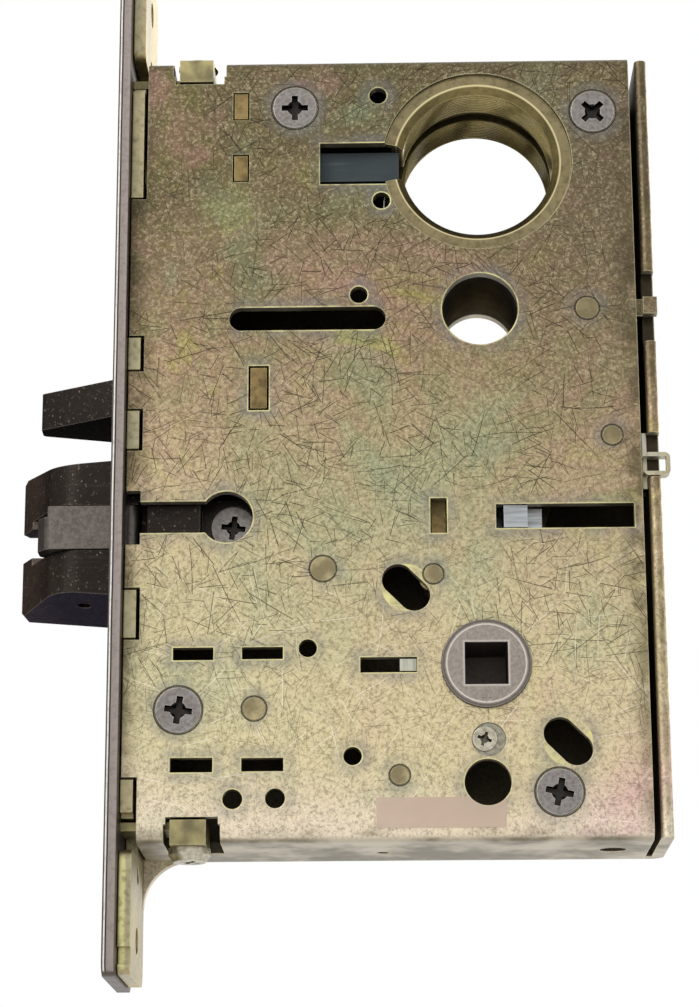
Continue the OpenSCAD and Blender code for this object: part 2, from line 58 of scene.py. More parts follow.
camera_data.clip_start, camera_data.clip_end = 0.01, 20.0
camera = bpy.data.objects.new("camera", camera_data)
camera.matrix_world = (Matrix.Translation((-0.015865, -0.509061, -0.112354))
                       @ Matrix(camera_axes).transposed().to_4x4())
bpy.context.collection.objects.link(camera)
bpy.context.scene.camera = camera
bpy.context.scene.view_settings.view_transform = "Standard"

world = bpy.data.worlds.new("tent")
bpy.context.scene.world = world
world.use_nodes = True
world.node_tree.nodes["Background"].inputs["Color"].default_value = (1.0, 1.0, 1.0, 1.0)
world.node_tree.nodes["Background"].inputs["Strength"].default_value = 1.0


def soft_lamp(name, place, aim, size, watts):
    data = bpy.data.lights.new(name, "AREA")
    data.shape, data.size, data.size_y, data.energy = "RECTANGLE", size[0], size[1], watts
    lamp = bpy.data.objects.new(name, data)
    lamp.location = place
    lamp.rotation_euler = (Vector(aim) - Vector(place)).to_track_quat("-Z", "Y").to_euler()
    bpy.context.collection.objects.link(lamp)


soft_lamp("key", (-0.7, -0.8, 0.7), (-0.02, 0, 0.04), (0.5, 0.5), 5.0)
soft_lamp("low", (0.1, -0.5, -0.55), (-0.02, 0, 0.0), (0.5, 0.3), 1.5)
soft_lamp("back", (0.6, 0.8, 0.5), (-0.02, 0, 0.04), (0.6, 0.6), 4.0)


# ---- case cover ----
# The near half of the case: a steel tray pressed from 2.3 mm sheet, punched, then zinc plated
# and yellow passivated. The film runs in patches from olive to pink and gold. Painted shade darkens it
# towards the top and the upper right, and a painted sheen pales it towards the bottom edge. Years of
# handling have covered its middle with fine dark scratches.
class Wire:
    """One output of a shader node, which takes part in sums like a number."""

    def __init__(self, finish, socket):
        self.finish, self.socket = finish, socket

    def sum_of(self, how, a, b=0.0):
        return self.finish.node("Math", {"operation": how}, {0: a, 1: b})

    def __add__(self, other):
        return self.sum_of("ADD", self, other)

    def __sub__(self, other):
        return self.sum_of("SUBTRACT", self, other)

    def __rsub__(self, other):
        return self.sum_of("SUBTRACT", other, self)

    def __mul__(self, other):
        return self.sum_of("MULTIPLY", self, other)

    def __truediv__(self, other):
        return self.sum_of("DIVIDE", self, other)

    def __abs__(self):
        return self.sum_of("ABSOLUTE", self)

    __radd__ = __add__
    __rmul__ = __mul__

    def least(self, other):
        return self.sum_of("MINIMUM", self, other)

    def most(self, other):
        return self.sum_of("MAXIMUM", self, other)

    def rises(self, low, high):
        """0 under low, 1 over high, smooth between; low may be the larger."""
        return self.finish.node("MapRange", {"interpolation_type": "SMOOTHSTEP"},
                                {0: self, 1: low, 2: high, 3: 0.0, 4: 1.0})

    def also(self, name):
        return Wire(self.finish, self.socket.node.outputs[name])


def tone(red, green, blue):
    """A colour as a painter reads it, 0 to 255, made linear for the shader."""
    return tuple(((c / 255 + 0.055) / 1.055) ** 2.4 if c > 10 else c / 255 / 12.92
                 for c in (red, green, blue)) + (1.0,)


class Finish:
    """A surface finish: its material, the places and facings on the piece, and its shader."""

    def __init__(self, name):
        self.material = bpy.data.materials.new(name)
        self.material.use_nodes = True
        self.tree = self.material.node_tree
        self.tree.nodes.clear()
        self.place = self.node("TexCoord", {}, {}, "Object")
        self.x = self.node("SeparateXYZ", {}, {0: self.place}, "X")
        self.y, self.z = self.x.also("Y"), self.x.also("Z")
        facing = self.node("SeparateXYZ", {}, {0: self.place.also("Normal")}, "Y")
        self.side, self.up = facing, facing.also("Z")

    def node(self, kind, settings, sockets, out=0):
        made = self.tree.nodes.new("ShaderNode" + kind)
        for key, value in settings.items():
            if key == "stops":
                ramp = made.color_ramp
                while len(ramp.elements) < len(value):
                    ramp.elements.new(0.5)
                for stop, (at, colour) in zip(ramp.elements, value):
                    stop.position, stop.color = at, colour
            else:
                setattr(made, key, value)
        for key, value in sockets.items():
            if isinstance(value, Wire):
                self.tree.links.new(value.socket, made.inputs[key])
            else:
                made.inputs[key].default_value = value
        return Wire(self, made.outputs[out])

    def mix(self, share, a, b):
        return self.node("Mix", {"data_type": "RGBA"}, {0: share, 6: a, 7: b}, 2)

    def noise(self, scale, detail=3.0, rough=0.5, at=None, bend=0.0):
        return self.node("TexNoise", {}, {"Vector": at or self.place, "Scale": scale, "Detail": detail,
                                          "Roughness": rough, "Distortion": bend}, 0)

    def stretched(self, sx, sy, sz, scale, detail=2.0):
        at = self.node("VectorMath", {"operation": "MULTIPLY"}, {0: self.place, 1: (sx, sy, sz)})
        return self.noise(scale, detail, 0.6, at)

    def edge_wear_and_highlight(self, radius):
        """1 along outer edges, from how far a rounded normal turns away from the true one. The finishes
        paint these edges bright: rubbed wear and painted highlight.
        """
        soft = self.node("Bevel", {"samples": 4}, {"Radius": radius})
        true = self.node("NewGeometry", {}, {}, "Normal")
        return 1 - self.node("VectorMath", {"operation": "DOT_PRODUCT"}, {0: soft, 1: true}, "Value")

    def finish(self, colour, rough, metal, height=None, depth=0.0002, edge=0.0, **fixed):
        sockets = {"Base Color": colour, "Roughness": rough, "Metallic": metal}
        sockets.update({key.replace("_", " "): value for key, value in fixed.items()})
        if edge:
            sockets["Normal"] = self.node("Bevel", {"samples": 4}, {"Radius": edge})
        if height is not None:
            bump = {"Strength": 0.6, "Distance": depth, "Height": height}
            if edge:
                bump["Normal"] = sockets["Normal"]
            sockets["Normal"] = self.node("Bump", {}, bump)
        shader = self.node("BsdfPrincipled", {}, sockets)
        output = self.tree.nodes.new("ShaderNodeOutputMaterial")
        self.tree.links.new(shader.socket, output.inputs["Surface"])
        return self.material


def paint(material, *names):
    for name in names:
        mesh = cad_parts[name].data
        mesh.materials.clear()
        mesh.materials.append(material)


MM = 0.001
SCRATCH_BEND = 2.2 * MM  # how far a slow noise bends the net


def scratch_layer(f, cells_per_m, width, seed):
    """One short scratch in each cell of a random net, each at its own angle."""
    bent = f.noise(60, 1.0) * SCRATCH_BEND
    flat = f.node("CombineXYZ", {}, {0: f.x + seed * 0.137 + bent, 1: f.z + seed * 0.311 - bent, 2: 0.0})
    cell = f.node("TexVoronoi", {"voronoi_dimensions": "2D"},
                  {"Vector": flat, "Scale": cells_per_m}, "Position")
    pick = f.node("SeparateColor", {}, {0: cell.also("Color")}, "Red")
    from_cell = f.node("VectorMath", {"operation": "SUBTRACT"}, {0: flat, 1: cell})
    away = f.node("SeparateXYZ", {}, {0: from_cell}, "X")
    angle = pick * math.pi * 2
    cosine = f.node("Math", {"operation": "COSINE"}, {0: angle})
    sine = f.node("Math", {"operation": "SINE"}, {0: angle})
    across = abs(away * sine - away.also("Y") * cosine)
    return across.rises(width, width * 0.2) * pick.also("Green").rises(0.1, 0.8)


# Places on the cover in mm: x, z and radius of what is round; x0, x1, z0 and z1 of the slots.
SCREWS = ((-35.5, 111.8, 4.3), (22.7, 110.3, 4.3), (-56.9, -8.25, 4.3), (12.9, -24, 4.3))
RIVETS = ((20.5, 69.5, 2.1), (24.5, 44, 1.8), (-30.2, 18.4, 2.3), (-9.6, 17.2, 1.7), (-42.9, -8.1, 2.1),
          (-16.2, -20.7, 1.7))
HOLES = ((-19.2, 114.2, 1.7), (-18.7, 92.1, 1.7), (-23.2, 72.7, 1.7), (-33, 3.2, 1.7), (-24.8, -17.1, 1.7),
         (-46.8, -24.9, 1.83), (-39, -24.8, 1.83), (-0.1, -22.1, 4.3), (-14.7, 14.65, 4.3),
         (14.7, -14.65, 4.3), (0, 69.6, 7.3), (-48.3, 28.6, 5.0))
SLOTS = ((-45.7, -20.4, 65.6, 70.3), (2.3, 28.2, 25.9, 30.6), (-44.3, -40.4, 49.6, 58.5),
         (-10, -6.9, 25.1, 31.9), (-58, -50.5, 1.1, 3.5), (-45.2, -37.6, 1.2, 3.5),
         (-58.3, -50.5, -19.9, -17.2), (-45.2, -37.5, -19.8, -17.3), (-23.3, -12.8, -1.5, 1.4),
         (-30.6, -14.5, 95.6, 104.2), (-68, -48.3, 25.6, 31.7))


def nearest_round(f, flat, rounds):
    """How far each place on the cover is outside the nearest of these circles."""
    nearest = None
    for cx, cz, radius in rounds:
        centre = (cx * MM, cz * MM, 0.0)
        away = f.node("VectorMath", {"operation": "DISTANCE"}, {0: flat, 1: centre}, "Value")
        nearest = away - radius * MM if nearest is None else nearest.least(away - radius * MM)
    return nearest


# Cells per metre and width in mm of each net of dark scratches.
SCRATCHES = ((150, 0.12), (240, 0.10), (190, 0.11), (320, 0.09), (120, 0.12), (280, 0.10), (350, 0.09))


def yellow_zinc(name, scratched, punched, plate):
    """Yellow passivated zinc on sheet steel, with its scratches, stains and rubbed edges, and with painted
    light: shade towards the top, sheen towards the bottom edge, light on the undersides, highlights on
    edges and shade inside the case.

    scratched is the share of dark scratches, punched adds the marks round holes, with a painted highlight
    on their edges and painted shade in the gaps round rivets and screws, and plate is the flat face as x0,
    x1, z0 and z1 in mm.
    """
    f = Finish(name)
    cloud = f.noise(30, 4.0, 0.62, bend=0.9)
    drift = f.noise(12, 2.0, 0.5, bend=0.5)
    film = f.node("ValToRGB", {"stops": [
        (0.30, tone(116, 128, 104)), (0.41, tone(136, 130, 96)), (0.49, tone(148, 132, 98)),
        (0.56, tone(156, 130, 106)), (0.64, tone(162, 150, 90)), (0.76, tone(104, 98, 64))]}, {0: cloud})
    # Painted shade and sheen: the colour darkens towards the top and the upper right, and pales to near
    # white towards the bottom edge.
    height = f.z + (drift - 0.5) * 0.05
    colour = f.mix(height.rises(0.065, -0.02) * 0.8, film, tone(222, 208, 166))
    colour = f.mix(height.rises(-0.012, -0.034) * 0.7, colour, tone(238, 220, 206))
    colour = f.mix(height.rises(0.045, 0.105) * 0.8, colour, tone(84, 78, 52))
    colour = f.mix((f.x + (drift - 0.5) * 0.04).rises(0.0, 0.03) * height.rises(0.04, 0.09) * 0.4,
                   colour, tone(118, 100, 84))
    blush = f.noise(26, 3.0, 0.6, bend=1.2)
    colour = f.mix(blush.rises(0.54, 0.70) * 0.22, colour, tone(196, 136, 140))
    colour = f.mix((1 - blush).rises(0.50, 0.72) * 0.34, colour, tone(138, 160, 126))
    colour = f.mix(f.x.rises(0.004, 0.02) * height.rises(0.0, -0.02) * blush.rises(0.36, 0.62) * 0.24,
                   colour, tone(214, 130, 178))
    fine = f.noise(1700, 4.0, 0.75)
    colour = f.mix(fine.rises(0.46, 0.66) * 0.5, colour, tone(78, 70, 46))
    colour = f.mix(fine.rises(0.50, 0.34) * 0.26, colour, tone(238, 226, 186))
    flat_side = abs(f.side).rises(0.7, 0.9)
    middle = (f.z.rises(-0.035, 0.02) * 0.8 + 0.2) * flat_side
    lines = None
    for layer, (cells, width) in enumerate(SCRATCHES, 1):
        net = scratch_layer(f, cells, width * MM, float(layer))
        lines = net if lines is None else lines.most(net)
    patchy = f.noise(48, 2.0).rises(0.34, 0.54) * 0.7 + 0.3
    dark = lines * middle * patchy * scratched
    colour = f.mix(dark * 0.95, colour, tone(40, 35, 24))
    light = scratch_layer(f, 110, 0.09 * MM, 11.0).most(scratch_layer(f, 170, 0.08 * MM, 12.0))
    colour = f.mix(light * flat_side * f.z.rises(0.05, 0.0) * 0.6, colour, tone(246, 238, 222))
    if punched:
        flat = f.node("CombineXYZ", {}, {0: f.x, 1: f.z, 2: 0.0})
        opened = nearest_round(f, flat, HOLES)
        for x0, x1, z0, z1 in SLOTS:
            dx = (abs(f.x - (x0 + x1) / 2 * MM) - (x1 - x0) / 2 * MM).most(0.0)
            dz = (abs(f.z - (z0 + z1) / 2 * MM) - (z1 - z0) / 2 * MM).most(0.0)
            opened = opened.least(f.node("Math", {"operation": "SQRT"}, {0: dx * dx + dz * dz}))
        filled = nearest_round(f, flat, RIVETS + SCREWS)
        blotch = f.noise(170, 3.0, 0.6).rises(0.35, 0.62)
        ring = opened.least(filled).rises(3.2 * MM, 0.3 * MM) * (blotch * 0.8 + 0.2) * flat_side
        colour = f.mix(ring * 0.5, colour, tone(112, 112, 112))
        # Painted highlight: a thin bright line along the edges of the holes and slots.
        rim = opened.rises(0.32 * MM, 0.1 * MM) * flat_side * blotch
        colour = f.mix(rim * 0.8, colour, tone(228, 220, 150))
        # Painted shade: a dark line in the gap round each rivet and screw.
        gap_shade = filled.rises(0.5 * MM, 0.3 * MM) * flat_side
        colour = f.mix(gap_shade * 0.9, colour, tone(34, 30, 24))
    x0, x1, z0, z1 = (v * MM for v in plate)
    border = (f.x - x0).least(x1 - f.x).least(f.z - z0).least(z1 - f.z)
    sides = (f.x - x0).least(x1 - f.x)
    grime = (sides.rises(6.5 * MM, 0.5 * MM) * f.noise(130, 4.0, 0.75).rises(0.40, 0.58)
             * f.z.rises(-0.03, 0.02) * flat_side)
    colour = f.mix(grime * 0.6, colour, tone(60, 53, 36))
    soot = border.rises(3.5 * MM, 0.3 * MM) * f.noise(90, 3.0, 0.7).rises(0.4, 0.6) * flat_side
    colour = f.mix(soot * 0.5, colour, tone(90, 82, 52))
    # Down-facing faces get a paler grey-beige: mottled film, brightened as painted light from below.
    under = f.up.rises(-0.5, -0.9)
    underside_film_and_light = f.mix(f.noise(60, 4.0, 0.65).rises(0.35, 0.62), tone(182, 172, 152), tone(112, 104, 84))
    colour = f.mix(under, colour, underside_film_and_light)
    strip = f.y.rises(-10.2 * MM, -10.5 * MM) * f.x.rises(x1 - 0.4 * MM, x1 - 0.2 * MM)
    colour = f.mix(strip * (1.0 - scratched), colour, f.mix(f.noise(400, 4.0, 0.7).rises(0.4, 0.62),
                                                            tone(206, 180, 146), tone(92, 78, 58)))
    # Painted shade: the inner faces of the case, between the plates, are darkened.
    inside = (abs(f.y).rises(10.7 * MM, 10.5 * MM) * f.z.rises(z0 + 0.1 * MM, z0 + 0.3 * MM)
              * f.z.rises(z1 - 0.1 * MM, z1 - 0.3 * MM) * f.x.rises(x1 - 0.1 * MM, x1 - 0.3 * MM))
    colour = f.mix(inside * 0.9, colour, tone(44, 38, 28))
    # Edges painted bright: rubbed wear and painted highlight.
    edge_wear_highlight = f.edge_wear_and_highlight(0.35 * MM).rises(0.02, 0.25) * (1 - inside)
    colour = f.mix(edge_wear_highlight * 0.75, colour, tone(240, 234, 190))
    rough = f.noise(300, 3.0) * 0.16 + 0.36 + dark * 0.1
    bump = fine * 0.45 - dark * 0.7
    return f.finish(colour, rough, 0.86, bump, 0.00007, edge=0.3 * MM)


paint(yellow_zinc("yellow_zinc_cover", 1.0, True, (-67.2, 29.9, -32.7, 122)), "cap")

# ---- case shell ----
# The far half: back plate and rear wall bent from one sheet, with the same plating. It saw
# less handling, so its film is cleaner.
paint(yellow_zinc("yellow_zinc_shell", 0.5, False, (-64.9, 33.5, -32.5, 121)), "case_shell")

# ---- case front wall ----
# The wall with the tabs and the two ears for the door screws, punched from the same sheet.
# Its ears keep a clean pale gold film, with a painted highlight on the lower ear's near edge and edges
# painted bright as wear and highlight; the tabs show it through the cover's notches.
f = Finish("pale_gold_zinc")
grain = f.stretched(1, 1, 0.12, 900)
soft = f.noise(45, 3.0)
colour = f.mix(soft.rises(0.35, 0.65), tone(182, 164, 112), tone(150, 140, 112))
near_face = abs(f.side).rises(0.7, 0.9)
colour = f.mix(near_face * 0.7, colour, f.mix(f.noise(300, 3.0), tone(196, 188, 158), tone(140, 134, 104)))
# Painted highlight: a bright patch on the near edge of the lower ear.
bright = near_face * f.z.rises(-0.034, -0.036) * abs(f.x + 66.6 * MM).rises(0.9 * MM, 0.2 * MM)
colour = f.mix(bright * 0.8, colour, tone(236, 228, 160))
colour = f.mix(f.noise(800, 3.0).rises(0.45, 0.75) * 0.5, colour, tone(84, 76, 50))
# Edges painted bright: rubbed wear and painted highlight.
colour = f.mix(f.edge_wear_and_highlight(0.3 * MM).rises(0.02, 0.25) * 0.6, colour, tone(240, 236, 160))
paint(f.finish(colour, f.noise(250) * 0.15 + 0.3, 0.85, grain, 0.00004, edge=0.3 * MM), "inner_front")

# ---- case screws ----
# Four cross-recess screws with countersunk heads that hold the two case halves together,
# plus the one in the latchbolt. Dark nickel, with rims painted bright as rubbed wear and painted highlight,
# and painted shade in the recesses.
f = Finish("dark_nickel")
turned = f.noise(1400, 2.0)
colour = f.mix(turned.rises(0.3, 0.75), tone(146, 140, 136), tone(118, 112, 108))
colour = f.mix(f.noise(260, 3.0).rises(0.5, 0.7) * 0.3, colour, tone(104, 96, 88))
# Edges painted bright: rubbed wear and painted highlight.
colour = f.mix(f.edge_wear_and_highlight(0.25 * MM).rises(0.02, 0.2) * 0.8, colour, tone(212, 206, 200))
# Painted shade: everything deeper than the head faces is darkened.
case_recess_shade = f.y.rises(-12.65 * MM, -12.2 * MM) - f.y.rises(-7.5 * MM, -7 * MM)
latch_recess_shade = f.y.rises(-6.2 * MM, -5.8 * MM)
colour = f.mix(case_recess_shade.most(latch_recess_shade) * 0.9, colour, tone(34, 30, 27))
paint(f.finish(colour, f.noise(500) * 0.2 + 0.3, 0.95, turned, 0.00005, edge=0.15 * MM,
               Specular_Tint=tone(150, 146, 140)), "case_screws", "latch_screw")

# ---- bevel and function screws ----
# Bright nickel: the two screws under and over the case that set the front's bevel, and the
# little screw in its bush that sets the lock's function.
f = Finish("bright_nickel")
turned = f.noise(1200, 2.0)
colour = f.mix(turned.rises(0.3, 0.75), tone(196, 190, 170), tone(150, 144, 124))
colour = f.mix(f.noise(260, 3.0).rises(0.5, 0.7) * 0.4, colour, tone(118, 110, 90))
# Edges painted bright: rubbed wear and painted highlight.
colour = f.mix(f.edge_wear_and_highlight(0.25 * MM).rises(0.02, 0.2) * 0.8, colour, tone(242, 238, 226))
# Painted shade: the recess of the function screw is darkened.
by_function_screw = abs(f.z + 14 * MM).rises(6 * MM, 5 * MM)
recess_shade = f.y.rises(-12.6 * MM, -12.2 * MM) * by_function_screw
colour = f.mix(recess_shade * 0.75, colour, tone(52, 46, 36))
paint(f.finish(colour, f.noise(500) * 0.2 + 0.24, 0.92, turned, 0.00004, edge=0.15 * MM),
      "bevel_screws", "function_screw", "function_bush")

# ---- rivets, posts and pins ----
# Turned steel parts, plated with the case: pivots of the levers, threaded posts and the pin
# of the tongue. Their ends are staked flush in the plates and rubbed smooth.
f = Finish("staked_rivets")
colour = f.mix(f.noise(260, 3.0).rises(0.35, 0.65), tone(178, 164, 124), tone(132, 120, 90))
# Painted shade: darker towards the top, as on the cover.
colour = f.mix(f.z.rises(10 * MM, 60 * MM) * 0.6, colour, tone(112, 102, 74))
colour = f.mix(f.noise(1500).rises(0.5, 0.8) * 0.4, colour, tone(96, 88, 66))
# Edges painted bright: rubbed wear and painted highlight.
colour = f.mix(f.edge_wear_and_highlight(0.3 * MM).rises(0.02, 0.25) * 0.5, colour, tone(216, 206, 160))
paint(f.finish(colour, f.noise(400) * 0.2 + 0.32, 0.85, f.noise(900), 0.00005, edge=0.2 * MM),
      "rivet_posts", "case_posts", "tongue_pin")

# ---- cylinder collars ----
# Two threaded steel rings pressed into the plates, gold passivated. The cylinder screws
# into their fine thread, and the outer lip carries a lead-in chamfer.
f = Finish("gold_collar")
CYLINDER_Z, THREAD_BORE = 100.3 * MM, 14.7 * MM
CLAMP_GAP = (-77.5, 257.5)  # the near ring runs round from one of these angles to the other
colour = f.mix(f.noise(70, 3.0).rises(0.35, 0.65), tone(126, 112, 72), tone(92, 82, 52))
flat = f.node("CombineXYZ", {}, {0: f.x, 1: f.z, 2: 0.0})
from_axis = f.node("VectorMath", {"operation": "DISTANCE"}, {0: flat, 1: (0.0, CYLINDER_Z, 0.0)}, "Value")
flange = from_axis.rises(16.2 * MM, 16.5 * MM)
colour = f.mix(flange * 0.85, colour, f.mix(f.noise(200, 3.0), tone(160, 146, 112), tone(118, 108, 78)))
colour = f.mix(f.noise(700, 3.0, 0.7).rises(0.42, 0.7) * 0.45, colour, tone(64, 56, 36))
# Painted highlight: a bright line round the lip of the lead-in chamfer.
colour = f.mix(abs(from_axis - 16.15 * MM).rises(0.3 * MM, 0.05 * MM) * 0.7, colour, tone(240, 226, 176))
# Edges painted bright: rubbed wear and painted highlight.
colour = f.mix(f.edge_wear_and_highlight(0.25 * MM).rises(0.02, 0.25) * 0.75, colour, tone(238, 222, 160))
collar_gold = f.finish(colour, f.noise(300) * 0.16 + 0.24, 0.95, f.noise(1200), 0.00003)
THREAD_PITCH, THREAD_DEPTH, THREAD_STEPS = 0.79 * MM, 0.42 * MM, 144


def threaded_ring(node, bore, y_face, inward, turn_from=0.0, turn_to=360.0):
    """A flanged ring along Y on its CAD node's box. Its bore carries a helical thread; inward is the way
    into the case. An open ring runs from one turn angle to the other, counted from the top towards +X."""
    low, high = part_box(node)
    axis_z, rim, depth = (low.z + high.z) / 2, (high.z - low.z) / 2, high.y - low.y
    lead, flange, neck = 1.4 * MM, 1.6 * MM, 17.0 * MM
    profile = [(rim, 0.0), (rim, flange), (neck, flange), (neck, depth)]
    steps = round((depth - lead) / (THREAD_PITCH / 6))
    inner = [(bore, depth - i * (depth - lead) / steps) for i in range(steps + 1)]
    lip = [(bore + 0.7 * MM, lead / 2), (bore + lead, 0.0)]
    loop = profile + inner + lip
    closed = turn_to - turn_from >= 360
    sections = THREAD_STEPS if closed else THREAD_STEPS + 1
    points, faces = [], []
    for k in range(sections):
        turn = math.radians(turn_from + (turn_to - turn_from) * k / THREAD_STEPS)
        for i, (radius, along) in enumerate(loop):
            if len(profile) <= i < len(profile) + len(inner):
                phase = (along / THREAD_PITCH + turn / (2 * math.pi) * inward) % 1.0
                fade = min(1.0, (along - lead) / (0.5 * MM), (depth - along) / (0.5 * MM))
                radius += THREAD_DEPTH * max(0.0, fade) * abs(2 * phase - 1)
            x, z = radius * math.sin(turn), axis_z + radius * math.cos(turn)
            points.append((x, y_face + inward * along, z))
    count = len(loop)
    for k in range(THREAD_STEPS):
        here, there = k * count, (k + 1) % sections * count
        for i in range(count):
            j = (i + 1) % count
            faces.append((here + i, here + j, there + j, there + i)[::inward])
    if not closed:
        last = (sections - 1) * count
        faces += [tuple(range(count))[::-inward], tuple(last + i for i in range(count))[::inward]]
    mesh = bpy.data.meshes.new("threaded_" + node)
    mesh.from_pydata(points, [], faces)
    mesh.validate()
    mesh.materials.append(collar_gold)
    made = bpy.data.objects.new("threaded_" + node, mesh)
    bpy.context.collection.objects.link(made)
    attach(made, "case")
    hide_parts(node)


threaded_ring("cylinder_collar_far", THREAD_BORE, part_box("cylinder_collar_far")[1].y, -1)
threaded_ring("cylinder_collar_near", THREAD_BORE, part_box("cylinder_collar_near")[0].y, 1, *CLAMP_GAP)

# ---- turn sleeve ----
# A dark steel tube between the plates, which guides the spindle of the thumb turn.
f = Finish("dark_tube")
colour = f.mix(f.noise(300, 3.0), tone(104, 96, 80), tone(56, 50, 40))
paint(f.finish(colour, f.noise(500) * 0.2 + 0.45, 0.97, f.noise(900), 0.00006,
               Specular_Tint=tone(70, 66, 58)), "turn_sleeve")

# ---- brackets and small plates ----
# Stamped zinc plated steel: the stop of the auxiliary spring, the clip in the rear wall and
# the stop slide. Pale grey, with a yellow cast in patches and edges painted brighter as rubbed wear and
# painted highlight.
f = Finish("white_zinc")
brushed = f.stretched(1, 1, 0.1, 1100)
colour = f.mix(brushed.rises(0.35, 0.7), tone(190, 190, 176), tone(150, 148, 132))
colour = f.mix(f.noise(90, 3.0).rises(0.45, 0.65) * 0.5, colour, tone(176, 160, 112))
# Edges painted bright: rubbed wear and painted highlight.
colour = f.mix(f.edge_wear_and_highlight(0.3 * MM).rises(0.02, 0.25) * 0.6, colour, tone(228, 228, 214))
paint(f.finish(colour, brushed * 0.2 + 0.28, 0.88, brushed, 0.00004, edge=0.2 * MM),
      "aux_spring_stop", "rear_clip", "stop_slide")

# ---- guides and set screw bracket ----
# Stamped plates that guide the bars of the two bolts, and the bracket of the set screw. Only
# their tabs show in the cover: dull brassy yellow, darkened all over and in patches as painted shade of the
# slots they show through.
f = Finish("old_brass")
# Painted shade: a dark base and dark patches stand in for the shade in the cover's slots.
colour = f.mix(f.noise(180, 4.0, 0.6).rises(0.35, 0.65), tone(142, 122, 80), tone(84, 72, 46))
colour = f.mix(f.noise(600, 3.0).rises(0.5, 0.8) * 0.6, colour, tone(78, 62, 40))
# Edges painted bright: rubbed wear and painted highlight.
colour = f.mix(f.edge_wear_and_highlight(0.25 * MM).rises(0.02, 0.25) * 0.6, colour, tone(226, 204, 140))
paint(f.finish(colour, f.noise(300) * 0.2 + 0.32, 0.9, f.noise(900), 0.00005, edge=0.15 * MM),
      "aux_guide", "latch_guide", "set_screw_bracket")

# ---- label ----
# A blank strip of clear film with a yellowed adhesive, stuck across the lower edge of the cover.
f = Finish("clear_film")
colour = f.mix(f.noise(60, 3.0), tone(232, 208, 190), tone(216, 190, 168))
paint(f.finish(colour, f.noise(400) * 0.1 + 0.3, 0.0, f.noise(500), 0.00004, Alpha=0.55), "label")

# ---- springs ----
# Plain spring wire: the two bolt springs are compressed coils on the bars, the hub springs
# are torsion springs round the journals.
f = Finish("spring_wire")
colour = f.mix(f.noise(500, 2.0), tone(150, 148, 142), tone(104, 102, 98))
spring_wire = f.finish(colour, f.noise(900) * 0.15 + 0.25, 0.95, f.noise(1500), 0.00003)
paint(spring_wire, "hub_spring_inside", "hub_spring_outside")
WIRE_SIDES, COIL_STEP = 10, 12


def coil_spring(name, node, turns, wire):
    """A wire swept along X on the box of its CAD node."""
    low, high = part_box(node)
    x0, x1 = low.x + wire, high.x - wire
    radius, cy, cz = (high.z - low.z) / 2 - wire, (low.y + high.y) / 2, (low.z + high.z) / 2
    points, faces, count = [], [], round(360 * turns / COIL_STEP) + 1
    for i in range(count):
        turn = math.radians(i * COIL_STEP)
        aside, rise = radius * math.cos(turn), radius * math.sin(turn)
        centre = Vector((x0 + (x1 - x0) * i / (count - 1), cy + aside, cz + rise))
        along = Vector(((x1 - x0) / math.radians(360 * turns), -rise, aside)).normalized()
        u = Vector((0, math.cos(turn), math.sin(turn)))
        v = along.cross(u)
        for k in range(WIRE_SIDES):
            a = 2 * math.pi * k / WIRE_SIDES
            points.append(centre + wire * (math.cos(a) * u + math.sin(a) * v))
    for i in range(count - 1):
        for k in range(WIRE_SIDES):
            j = (k + 1) % WIRE_SIDES
            here, there = i * WIRE_SIDES, (i + 1) * WIRE_SIDES
            faces.append((here + k, here + j, there + j, there + k))
    last = (count - 1) * WIRE_SIDES
    faces += [tuple(range(WIRE_SIDES))[::-1], tuple(last + k for k in range(WIRE_SIDES))]
    mesh = bpy.data.meshes.new(name)
    mesh.from_pydata(points, [], faces)
    mesh.validate()
    mesh.shade_smooth()
    mesh.materials.append(spring_wire)
    made = bpy.data.objects.new(name, mesh)
    bpy.context.collection.objects.link(made)
    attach(made, "case")
    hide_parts(node)
    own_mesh(made)


coil_spring("latch_coil", "latch_spring", 8, 0.5 * MM)
coil_spring("aux_coil", "aux_spring", 8, 0.4 * MM)

# ---- armoured front ----
# The face plate: dark bronze on its outside, with a rubbed edge where plate, lacquer and
# steel show as fine lines, and a white band that is a painted highlight on its rounded outer corner. It
# hangs on two angle lugs, so that its bevel can be set.
f = Finish("bronze_front")
edge_on = abs(f.side).rises(0.6, 0.8)
grain = f.stretched(1, 1, 0.08, 900)
face = f.mix(f.noise(50, 3.0), tone(62, 54, 50), tone(88, 76, 66))
face = f.mix(grain.rises(0.5, 0.75) * 0.35, face, tone(112, 98, 84))
BACKSET, FRONT_T = 69.85 * MM, 2.35 * MM
depth = (f.x + BACKSET) / FRONT_T
# The cut edge across the plate's thickness: dark and grey lines, with a white band that is a painted
# highlight on the rounded outer corner.
edge_lines_and_highlight = f.node("ValToRGB", {"stops": [
    (0.0, tone(92, 84, 80)), (0.10, tone(70, 64, 60)), (0.14, tone(226, 222, 214)),
    (0.22, tone(214, 208, 200)), (0.26, tone(30, 28, 28)), (0.34, tone(40, 38, 36)),
    (0.38, tone(140, 130, 124)), (0.92, tone(150, 138, 132)), (1.0, tone(60, 56, 54))]},
    {0: depth + f.noise(120) * 0.05 - 0.025})
edge_lines_and_highlight = f.mix(f.noise(900, 3.0, 0.7).rises(0.45, 0.7) * 0.35, edge_lines_and_highlight, tone(96, 86, 80))
colour = f.mix(edge_on, face, edge_lines_and_highlight)
paint(f.finish(colour, f.noise(300) * 0.2 + 0.32, 0.7, grain, 0.00004, edge=0.2 * MM), "armored_front")

# ---- front screws ----
# Two small countersunk machine screws that hold the face plate to the case front, in the
# same dark bronze.
f = Finish("bronze_screws")
colour = f.mix(f.noise(600), tone(66, 58, 52), tone(96, 84, 74))
